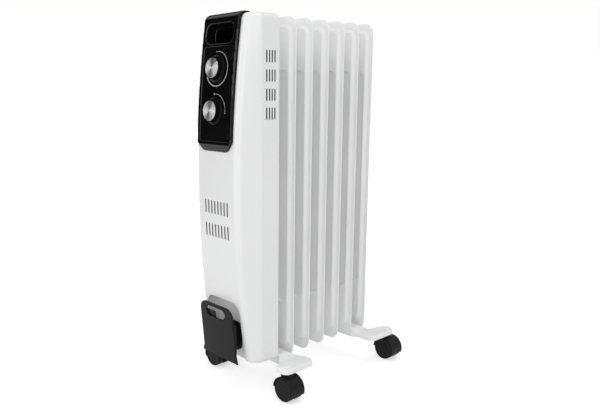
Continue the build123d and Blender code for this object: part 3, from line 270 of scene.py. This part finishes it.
# Control box
# White bowed shell moulded in one piece, with air slots cut through its front and sides and a scooped
# recess for the cord; screwed to the shield's foot from below.
housing = finish(
    "white moulded housing", (0.832, 0.834, 0.836), (0.856, 0.858, 0.859), 7, (0.3, 0.36), 1100, (0.05, 0.0003),
)
# Dark grey on the slot walls and the inside of the box: painted shade, where the slots and the closed box fall dark.
housing_inside_painted_shade = finish(
    "dark inside of the housing, painted shade", (0.1, 0.1, 0.101), (0.14, 0.14, 0.141), 30, (0.5, 0.65), 1500, (0.1, 0.0002),
)
SLOT_REACH, BOX_REACH, STAND_OFF, BOX_EDGE, BOX_HARD_ANGLE = 0.006, 0.25, 0.0001, 0.0004, 50

box = softened("control_box", BOX_EDGE, housing, "heater", angle=BOX_HARD_ANGLE)
box.data.materials.append(housing_inside_painted_shade)
shell = BVHTree.FromPolygons([v.co for v in box.data.vertices], [f.vertices for f in box.data.polygons])
# Faces in the slots or shut in by the shell take the dark grey: painted shade.
for face in box.data.polygons:
    start = face.center + face.normal * STAND_OFF
    in_slot = shell.ray_cast(start, face.normal, SLOT_REACH)[0]
    enclosed = shell.ray_cast(start, face.normal, BOX_REACH)[0] and shell.ray_cast(start, Vector((0, -1, 0)))[0]
    if in_slot or enclosed:
        face.material_index = 1
dress(zinc, "housing_screws", "winder_screws")


# Control panel
# Gloss black moulding that follows the bow of the box and wraps over its top edge, with a sunk dial
# field and the grip pocket; the scales are printed on the field in silver.
BOW_RADIUS, BOW_CENTRE_Y, BOW_CENTRE_Z = 1.6998, 1.5288, 0.35201
DIAL_HEIGHTS = {"thermostat": 0.5412, "selector": 0.4764}
SCALES = {  # inner radius, first and last degree, width of the ink there
    "thermostat": (0.0261, -8, 244, 0.0006, 0.0018),
    "selector": (0.0261, -6, 97, 0.0007, 0.0007),
}
SCALE_STEPS, DOT_SIDES, PRINT_LIFT, PRINT_DROP, FULL_CIRCLE = 84, 16, 0.00006, 0.02, 360
MOUTH_HALF_WIDTH, MOUTH_LOW, MOUTH_HIGH, MOUTH_ROLL = 0.0395, 0.5765, 0.6135, 0.0011
PANEL_EDGE, PANEL_EDGE_STEPS, PANEL_HARD_ANGLE, FACING_FRONT = 0.0004, 3, 25, -0.8
DOTS = {  # degree and radius of each dot
    "thermostat": ((-8, 0.0008),),
    "selector": ((-6, 0.0013), (28, 0.0009), (63, 0.0009), (97, 0.0009)),
}

panel_black = finish(
    "gloss black panel", (0.004, 0.004, 0.0042), (0.006, 0.006, 0.0063), 12, (0.06, 0.12), 700, (0.02, 0.0002),
    Specular_IOR_Level=0.17,
)
panel_edge = finish(
    "polished black edge", (0.006, 0.006, 0.0063), (0.009, 0.009, 0.0094), 12, (0.16, 0.22), 700, (0.02, 0.0002),
    IOR=1.52,
)
silver_print = finish(
    "silver printing ink", (0.5, 0.5, 0.51), (0.66, 0.66, 0.67), 300, (0.35, 0.5), 3000, (0.1, 0.0001), Metallic=0.3,
)


def on_grip_mouth(edge):
    """True for the rounded lip of the grip pocket."""
    middle = (edge.verts[0].co + edge.verts[1].co) / 2
    in_front = min(face.normal.y for face in edge.link_faces) < FACING_FRONT
    return edge.is_convex and in_front and abs(middle.x) < MOUTH_HALF_WIDTH and MOUTH_LOW < middle.z < MOUTH_HIGH


panel = softened(
    "control_panel", PANEL_EDGE, panel_black, "heater", PANEL_EDGE_STEPS, PANEL_HARD_ANGLE,
    rolled=on_grip_mouth, roll=MOUTH_ROLL, edge_look=1,
)
panel.data.materials.append(panel_edge)


def dial_frame(z):
    """Place on the bow at a height: right along X, up along Y and outward along Z."""
    lean = math.asin((z - BOW_CENTRE_Z) / BOW_RADIUS)
    y = BOW_CENTRE_Y - BOW_RADIUS * math.cos(lean)
    return Matrix.Translation((0, y, z)) @ Matrix.Rotation(math.pi / 2 - lean, 4, "X")


def lay_on_panel(bm, place):
    """Drops a print drawn in a dial's frame onto the panel's face."""
    tree = BVHTree.FromObject(panel, bpy.context.evaluated_depsgraph_get())
    outward = (place.to_3x3() @ Vector((0, 0, 1))).normalized()
    bmesh.ops.transform(bm, matrix=place, verts=bm.verts)
    for vert in bm.verts:
        hit = tree.ray_cast(vert.co + outward * PRINT_DROP, -outward)[0]
        vert.co = hit + outward * PRINT_LIFT


for name, (inner, start, end, thin, thick) in SCALES.items():
    scale = bmesh.new()
    first = Matrix.Rotation(-math.radians(start), 4, "Z")
    line = [scale.verts.new(first @ Vector((0, r, 0))) for r in (inner, inner + thin)]
    edge = scale.edges.new(line)
    bmesh.ops.spin(
        scale, geom=[*line, edge], cent=(0, 0, 0), axis=(0, 0, -1), angle=math.radians(end - start),
        steps=SCALE_STEPS, use_merge=False, use_duplicate=False,
    )
    for vert in scale.verts:
        turn = (math.degrees(math.atan2(vert.co.x, vert.co.y)) - start + 1) % FULL_CIRCLE - 1
        if vert.co.length > inner + thin / 2:
            vert.co *= 1 + (thick - thin) / inner * turn / (end - start)
    for angle, radius in DOTS[name]:
        spot = Matrix.Rotation(-math.radians(angle), 4, "Z") @ Matrix.Translation((0, inner + thin / 2, 0))
        bmesh.ops.create_circle(scale, cap_ends=True, segments=DOT_SIDES, radius=radius, matrix=spot)
    bmesh.ops.recalc_face_normals(scale, faces=scale.faces)
    lay_on_panel(scale, dial_frame(DIAL_HEIGHTS[name]))
    piece(f"{name}_scale", scale, silver_print, "heater")


# Knobs and their caps
# Black moulded knobs with a flared skirt and a fluted grip, pressed on the switch spindles; a spun
# aluminium disc with a notch for the setting is set into each face.
KNOB_BASE, KNOB_FACE, NUT_ROOM_TOP, SPINDLE_TIP = 0.0055, 0.0151, 0.0086, 0.0127
SKIRT_RADIUS, SKIRT_HEIGHT, GRIP_RADIUS, GRIP_FOOT, TOP_RADIUS = 0.0215, 0.0014, 0.0182, 0.0032, 0.0174
CAP_RADIUS, CAP_FACE, CAP_SEAT, NOTCH_FLOOR, NOTCH_INNER = 0.0154, 0.0163, 0.0139, 0.0151, 0.0116
KNOB_STEPS, NOTCH_HALF_ANGLE, NOTCH_LINE, SPUN_MERGE = 96, 4, 1e-6, 1e-7
SPINDLE_BORE, NUT_ROOM_RADIUS, CAP_GAP, REST_ANGLES = 0.003, 0.0085, 0.0001, {"thermostat": 46, "selector": 0}
SKIRT_CHAMFER, SKIRT_ROUND, FOOT_SPREAD, FOOT_DROP, FOOT_RISE = 0.0003, 0.0004, 0.0004, 0.0003, 0.0005
TOP_DROP, TOP_ROUND, FLUTE_TOP, FLUTE_REACH, FLUTE_AREA = 0.0006, 0.0005, 0.0004, 0.0006, 2e-6
FLUTE_RIM, FLUTE_DEPTH, KNOB_SHARP = 0.0002, 0.00035, 30
CAP_DISH = ((0, 0.0002), (0.005, 0.00015), (NOTCH_INNER, 0.00003))
CAP_ROUND = ((0.0005, 0), (0.0001, 0.0002), (0, 0.0005))
# The dark and light metal tones span both the turned grain and the painted sheen of the cap.
METAL_DARK, METAL_LIGHT, PAINTED_SHEEN_SHARE, METAL_ROUGH = (0.36, 0.36, 0.365), (0.78, 0.78, 0.79), 0.6, (0.48, 0.58)
TURNED_LINES, PAINTED_SHEEN_STRETCH = (3, 160, 1), (17, 0.6, 1)

knob_black = finish(
    "satin black knob", (0.003, 0.003, 0.0031), (0.005, 0.005, 0.0052), 60, (0.28, 0.38), 2500, (0.08, 0.0002),
    Specular_IOR_Level=0.05,
)


def spun(bm, profile, steps):
    """Full turn of a profile of (radius, height) points about Z."""
    verts = [bm.verts.new((radius, 0, height)) for radius, height in profile]
    edges = [bm.edges.new(pair) for pair in zip(verts, verts[1:])]
    bmesh.ops.spin(
        bm, geom=verts + edges, cent=(0, 0, 0), axis=(0, 0, 1), angle=math.tau, steps=steps, use_merge=True,
    )
    bmesh.ops.remove_doubles(bm, verts=bm.verts, dist=SPUN_MERGE)
    bmesh.ops.recalc_face_normals(bm, faces=bm.faces)


spun_metal = bpy.data.materials.new("spun aluminium")
spun_metal.use_nodes = True
metal_nodes, metal_links = spun_metal.node_tree.nodes, spun_metal.node_tree.links
metal = metal_nodes["Principled BSDF"]
metal.inputs["Metallic"].default_value = 1
metal.inputs["Anisotropic"].default_value = 0.96
metal.inputs["Anisotropic Rotation"].default_value = 0.25
metal_uv = metal_nodes.new("ShaderNodeUVMap")
metal_uv.uv_map = "turning"


def turned_noise(detail, stretch):
    """Noise over the cap's turning coordinates, drawn out by a stretch: along the turning lines for the grain, across
    them for the painted sheen.
    """
    noise = metal_nodes.new("ShaderNodeTexNoise")
    noise.inputs["Scale"].default_value = 1
    noise.inputs["Detail"].default_value = detail
    drawn = metal_nodes.new("ShaderNodeMapping")
    drawn.inputs["Scale"].default_value = stretch
    metal_links.new(metal_uv.outputs["UV"], drawn.inputs["Vector"])
    metal_links.new(drawn.outputs["Vector"], noise.inputs["Vector"])
    return noise.outputs["Fac"]


# The turning lines are the grain of the spun disc; the rays that fan out round it are painted sheen, light and dark
# wedges in the base colour that stand in for the reflections of the turned finish.
metal_lines, painted_sheen_rays = turned_noise(4, TURNED_LINES), turned_noise(1, PAINTED_SHEEN_STRETCH)
grain_and_painted_sheen = metal_nodes.new("ShaderNodeMix")
grain_and_painted_sheen.inputs["Factor"].default_value = PAINTED_SHEEN_SHARE
metal_links.new(metal_lines, grain_and_painted_sheen.inputs["A"])
metal_links.new(painted_sheen_rays, grain_and_painted_sheen.inputs["B"])
metal_tone = metal_nodes.new("ShaderNodeValToRGB")
for stop, position, tone in zip(metal_tone.color_ramp.elements, (TONE_LOW, TONE_HIGH), (METAL_DARK, METAL_LIGHT)):
    stop.position = position
    stop.color = (*tone, 1)
metal_links.new(grain_and_painted_sheen.outputs["Result"], metal_tone.inputs["Fac"])
metal_links.new(metal_tone.outputs["Color"], metal.inputs["Base Color"])
metal_rough = metal_nodes.new("ShaderNodeMapRange")
metal_rough.inputs["To Min"].default_value = METAL_ROUGH[0]
metal_rough.inputs["To Max"].default_value = METAL_ROUGH[1]
metal_links.new(metal_lines, metal_rough.inputs["Value"])
metal_links.new(metal_rough.outputs["Result"], metal.inputs["Roughness"])
metal_tangent = metal_nodes.new("ShaderNodeTangent")
metal_tangent.direction_type = "UV_MAP"
metal_tangent.uv_map = "turning"
metal_links.new(metal_tangent.outputs["Tangent"], metal.inputs["Tangent"])

for name, rest in REST_ANGLES.items():
    place = dial_frame(DIAL_HEIGHTS[name]) @ Matrix.Rotation(-math.radians(rest), 4, "Z")
    knob = bmesh.new()
    spun(knob, [
        (0, SPINDLE_TIP), (SPINDLE_BORE, SPINDLE_TIP), (SPINDLE_BORE, NUT_ROOM_TOP),
        (NUT_ROOM_RADIUS, NUT_ROOM_TOP), (NUT_ROOM_RADIUS, KNOB_BASE),
        (SKIRT_RADIUS - SKIRT_CHAMFER, KNOB_BASE), (SKIRT_RADIUS, KNOB_BASE + SKIRT_CHAMFER),
        (SKIRT_RADIUS, KNOB_BASE + SKIRT_HEIGHT - SKIRT_ROUND), (SKIRT_RADIUS - SKIRT_ROUND, KNOB_BASE + SKIRT_HEIGHT),
        (GRIP_RADIUS + FOOT_SPREAD, KNOB_BASE + GRIP_FOOT - FOOT_DROP),
        (GRIP_RADIUS, KNOB_BASE + GRIP_FOOT + FOOT_RISE),
        (TOP_RADIUS, KNOB_FACE - TOP_DROP), (TOP_RADIUS - TOP_ROUND, KNOB_FACE), (CAP_RADIUS + CAP_GAP, KNOB_FACE),
        (CAP_RADIUS + CAP_GAP, CAP_SEAT), (0, CAP_SEAT),
    ], KNOB_STEPS)
    flutes = []
    for face in knob.faces:
        middle = face.calc_center_median()
        on_grip = KNOB_BASE + GRIP_FOOT < middle.z < KNOB_FACE - FLUTE_TOP
        if on_grip and middle.xy.length > CAP_RADIUS + FLUTE_REACH and face.calc_area() > FLUTE_AREA:
            flutes.append(face)
    bmesh.ops.inset_individual(knob, faces=flutes, thickness=FLUTE_RIM, depth=-FLUTE_DEPTH, use_even_offset=True)
    bmesh.ops.transform(knob, matrix=place, verts=knob.verts)
    piece(f"{name}_knob_grip", knob, knob_black, f"{name}_dial", [f"{name}_knob"], KNOB_SHARP)

    disc = bmesh.new()
    spun(disc, [
        *((radius, CAP_FACE - drop) for radius, drop in CAP_DISH),
        *((CAP_RADIUS - inset, CAP_FACE - drop) for inset, drop in CAP_ROUND),
        (CAP_RADIUS, NOTCH_FLOOR), (CAP_RADIUS, CAP_SEAT), (0, CAP_SEAT),
    ], KNOB_STEPS)
    notch = []
    for face in disc.faces:
        middle = face.calc_center_median()
        near_mark = abs(math.atan2(middle.x, middle.y)) < math.radians(NOTCH_HALF_ANGLE)
        if near_mark and middle.z > NOTCH_FLOOR and middle.y > NOTCH_INNER:
            notch.append(face)
    bmesh.ops.delete(disc, geom=notch, context="FACES")
    brink = [e for e in disc.edges if e.is_boundary and min(v.co.z for v in e.verts) > NOTCH_FLOOR + NOTCH_LINE]
    walls = bmesh.ops.extrude_edge_only(disc, edges=brink)["geom"]
    for vert in [item for item in walls if isinstance(item, bmesh.types.BMVert)]:
        vert.co.z = NOTCH_FLOOR
    floor = bmesh.ops.holes_fill(disc, edges=[edge for edge in disc.edges if edge.is_boundary])["faces"]
    # The notch's walls and floor are cut in the aluminium above the cap's seat but take the knob's black: painted
    # shade in the notch.
    for face in [item for item in walls if isinstance(item, bmesh.types.BMFace)] + floor:
        face.material_index = 1
    bmesh.ops.remove_doubles(disc, verts=disc.verts, dist=NOTCH_LINE)
    bmesh.ops.recalc_face_normals(disc, faces=disc.faces)
    turning = disc.loops.layers.uv.new("turning")
    for face in disc.faces:
        middle = face.calc_center_median()
        around = math.atan2(middle.y, middle.x)
        for loop in face.loops:
            reach = loop.vert.co.xy.length
            angle = math.atan2(loop.vert.co.y, loop.vert.co.x) if reach > NOTCH_LINE else around
            angle = around + (angle - around + math.pi) % math.tau - math.pi
            loop[turning].uv = (angle / math.tau + 0.5, reach / CAP_RADIUS)
    bmesh.ops.transform(disc, matrix=place, verts=disc.verts)
    cap = piece(f"{name}_cap_disc", disc, spun_metal, f"{name}_dial", [f"{name}_cap"], KNOB_SHARP)
    cap.data.materials.append(knob_black)


# Cord winder
# Charcoal moulded plate with a hand slot, standing on a core in the recess of the box; its skirts turn
# back at the sides to keep the wound cord in, and two screws hold it from inside.
WINDER_EDGE, WINDER_HARD_ANGLE = 0.0008, 40

winder_black = finish(
    "charcoal winder plastic", (0.0085, 0.0085, 0.0088), (0.0115, 0.0115, 0.0118), 25, (0.42, 0.55), 1600,
    (0.12, 0.0003), Specular_IOR_Level=0.12,
)
softened("cord_winder", WINDER_EDGE, winder_black, "heater", angle=WINDER_HARD_ANGLE, held=True)


# Foot brackets
# White pressed bars that cross below the fins and widen at each end over a caster; a U-bolt over the
# lower gallery and two wing nuts pull each one up against the fins.
BRACKET_ROLL, FOOT_SKIRT, BAR_TOP, HOLE_REACH, CLAMP_ROD = 0.0022, 0.053, 0.0641, 0.006, 0.0025
BRACKET_HARD_ANGLE, LEVEL_FACE = 40, 0.5

bracket_enamel = finish(
    "white bracket enamel", (0.92, 0.922, 0.924), (0.94, 0.942, 0.943), 9, (0.34, 0.42), 900, (0.06, 0.0004),
)


def on_top_outline(edge, holes):
    """True for the pressed edge round a bracket's top, not for its holes, saddles or open underside."""
    middle = (edge.verts[0].co + edge.verts[1].co) / 2
    tops = [abs(face.normal.z) for face in edge.link_faces]
    clear = min((middle.xy - hole).length for hole in holes) > HOLE_REACH
    on_top = FOOT_SKIRT < middle.z < BAR_TOP and max(tops) > LEVEL_FACE > min(tops)
    return edge.is_convex and clear and on_top


for end in ("front", "rear"):
    low, high = (Vector(corner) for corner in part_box(f"{end}_u_bolt"))
    middle_y = (low.y + high.y) / 2
    holes = [Vector((low.x + CLAMP_ROD, middle_y)), Vector((high.x - CLAMP_ROD, middle_y))]
    for side in ("right", "left"):
        low, high = (Vector(corner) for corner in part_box(f"caster_{end}_{side}_stem"))
        holes.append((low.xy + high.xy) / 2)
    softened(
        f"{end}_foot_bracket", 0, bracket_enamel, "heater", angle=BRACKET_HARD_ANGLE,
        rolled=lambda edge: on_top_outline(edge, holes), roll=BRACKET_ROLL,
    )
    dress(zinc, f"{end}_u_bolt", f"{end}_wing_nuts")


# Casters
# Twin-wheel furniture casters: a nylon hood that swivels on a riveted steel stem, an axle across it and
# two moulded wheels, one in front of the hood's web and one behind.
HOOD_EDGE, STEM_EDGE, STEM_EDGE_STEPS, WHEEL_EDGE = 0.0005, 0.0006, 3, 0.0004

hood_black = finish(
    "black nylon hood", (0.006, 0.006, 0.0062), (0.009, 0.009, 0.0092), 40, (0.34, 0.46), 2000, (0.12, 0.0002),
    Specular_IOR_Level=0.12,
)
wheel_black = finish(
    "black nylon wheel", (0.005, 0.005, 0.0052), (0.0085, 0.0085, 0.0087), 40, (0.4, 0.52), 2000, (0.12, 0.0002),
    Specular_IOR_Level=0.12,
)
for end in ("front", "rear"):
    for side in ("right", "left"):
        caster = f"caster_{end}_{side}"
        softened(f"{caster}_hood", HOOD_EDGE, hood_black, caster)
        softened(f"{caster}_stem", STEM_EDGE, bracket_enamel, "heater", STEM_EDGE_STEPS)
        dress(zinc, f"{caster}_axle")
        for wheel in (f"{caster}_front_wheel", f"{caster}_rear_wheel"):
            softened(wheel, WHEEL_EDGE, wheel_black, f"{wheel}_spin")


# Studio
# A white floor that runs into a white background, soft lamps from above, the right and the front, two dark
# cards that only show in glossy faces, and the camera at the photograph's place.
WORLD_LIGHT, FLOOR_GLOW, GLOW_NEAR, GLOW_FAR = 0.55, 0.5, 0.25, 1.1
CARDS = (
    ("left_card", (-0.95, -0.9, 1.3), (0.8, 0.6, 0), 0.9, 2.6),
    ("back_card", (-1.7, 1.5, 1.7), (0.75, -0.65, 0), 2.6, 1.6),
)
FLOOR_SIZE, LAMP_AIM = 14, Vector((0, 0, 0.33))
SOFTBOXES = (
    ("key_softbox", (1.92, -1.5, 1.2), 1.6, 1.6, 15.5),
    ("top_softbox", (0.1, 0.1, 2.4), 1.6, 1.6, 11.0),
    ("front_softbox", (-0.45, -2.3, 1.1), 1.4, 1.4, 9.5),
)
CAMERA_PLACE, CAMERA_AZIMUTH, CAMERA_ELEVATION, CAMERA_ROLL = (0.8033, -0.7841, 0.5063), 49.395, 10.796, -0.19
LENS_LENGTH, SENSOR_WIDTH, SHIFT_RIGHT, SHIFT_UP = 38.01, 36, 0.0808, 0.0084


def white_to_the_eye(tree):
    """Value that is 1 for what is seen directly, mirrored or through glass, and 0 for light that falls on things."""
    rays = tree.nodes.new("ShaderNodeLightPath")
    shown = rays.outputs["Is Camera Ray"]
    for kind in ("Is Glossy Ray", "Is Transmission Ray"):
        either = tree.nodes.new("ShaderNodeMath")
        either.operation = "MAXIMUM"
        tree.links.new(shown, either.inputs[0])
        tree.links.new(rays.outputs[kind], either.inputs[1])
        shown = either.outputs["Value"]
    return shown


def stage_plane(name, width, depth, material, place):
    """Flat sheet of the studio, not part of the heater."""
    sheet = bmesh.new()
    bmesh.ops.create_grid(sheet, x_segments=1, y_segments=1, size=0.5)
    bmesh.ops.transform(sheet, matrix=place @ Matrix.Diagonal((width, depth, 1, 1)), verts=sheet.verts)
    mesh = bpy.data.meshes.new(name)
    sheet.to_mesh(mesh)
    sheet.free()
    mesh.materials.append(material)
    made = bpy.data.objects.new(name, mesh)
    bpy.context.scene.collection.objects.link(made)
    return made


floor_white = finish(
    "pale studio floor", (0.86, 0.86, 0.86), (0.88, 0.88, 0.88), 2, (0.7, 0.8), 200, (0.02, 0.0004),
    Specular_IOR_Level=0.1,
)
floor_tree = floor_white.node_tree
floor_coords = floor_tree.nodes.new("ShaderNodeTexCoord")
floor_reach = floor_tree.nodes.new("ShaderNodeVectorMath")
floor_reach.operation = "LENGTH"
floor_tree.links.new(floor_coords.outputs["Object"], floor_reach.inputs[0])
floor_glow = floor_tree.nodes.new("ShaderNodeMapRange")
floor_glow.interpolation_type = "SMOOTHSTEP"
for socket, value in (("From Min", GLOW_NEAR), ("From Max", GLOW_FAR), ("To Min", FLOOR_GLOW), ("To Max", 1)):
    floor_glow.inputs[socket].default_value = value
floor_tree.links.new(floor_reach.outputs["Value"], floor_glow.inputs["Value"])
floor_shown = floor_tree.nodes.new("ShaderNodeMath")
floor_shown.operation = "MULTIPLY"
floor_tree.links.new(floor_glow.outputs["Result"], floor_shown.inputs[0])
floor_tree.links.new(white_to_the_eye(floor_tree), floor_shown.inputs[1])
floor_shader = floor_tree.nodes["Principled BSDF"]
floor_shader.inputs["Emission Color"].default_value = (1, 1, 1, 1)
floor_tree.links.new(floor_shown.outputs["Value"], floor_shader.inputs["Emission Strength"])
stage_plane("studio_floor", FLOOR_SIZE, FLOOR_SIZE, floor_white, Matrix.Identity(4))

card_black = finish(
    "black studio card", (0.004, 0.004, 0.004), (0.007, 0.007, 0.007), 3, (0.8, 0.9), 300, (0.05, 0.001),
    Specular_IOR_Level=0.0,
)
for name, spot, facing, width, height in CARDS:
    place = Matrix.Translation(spot) @ Vector(facing).to_track_quat("Z", "Y").to_matrix().to_4x4()
    card = stage_plane(name, width, height, card_black, place)
    card.visible_camera = card.visible_diffuse = card.visible_shadow = card.visible_transmission = False

world = bpy.data.worlds.new("studio")
bpy.context.scene.world = world
world.use_nodes = True
glow = world.node_tree.nodes["Background"]
glow.inputs["Color"].default_value = (1, 1, 1, 1)
strength = world.node_tree.nodes.new("ShaderNodeMapRange")
strength.inputs["To Min"].default_value = WORLD_LIGHT
world.node_tree.links.new(white_to_the_eye(world.node_tree), strength.inputs["Value"])
world.node_tree.links.new(strength.outputs["Result"], glow.inputs["Strength"])

for name, spot, width, height, power in SOFTBOXES:
    lamp = bpy.data.lights.new(name, "AREA")
    lamp.shape = "RECTANGLE"
    lamp.size, lamp.size_y, lamp.energy = width, height, power
    holder = bpy.data.objects.new(name, lamp)
    holder.location = spot
    holder.rotation_euler = (LAMP_AIM - Vector(spot)).to_track_quat("-Z", "Y").to_euler()
    bpy.context.scene.collection.objects.link(holder)

lens = bpy.data.cameras.new("camera")
lens.lens, lens.sensor_width = LENS_LENGTH, SENSOR_WIDTH
lens.shift_x, lens.shift_y = SHIFT_RIGHT, SHIFT_UP
camera = bpy.data.objects.new("camera", lens)
turn = (
    Matrix.Rotation(math.radians(CAMERA_AZIMUTH), 4, "Z")
    @ Matrix.Rotation(math.radians(90 - CAMERA_ELEVATION), 4, "X")
    @ Matrix.Rotation(math.radians(CAMERA_ROLL), 4, "Z")
)
camera.matrix_world = Matrix.Translation(CAMERA_PLACE) @ turn
bpy.context.scene.collection.objects.link(camera)
bpy.context.scene.camera = camera
bpy.context.scene.view_settings.view_transform = "Standard"
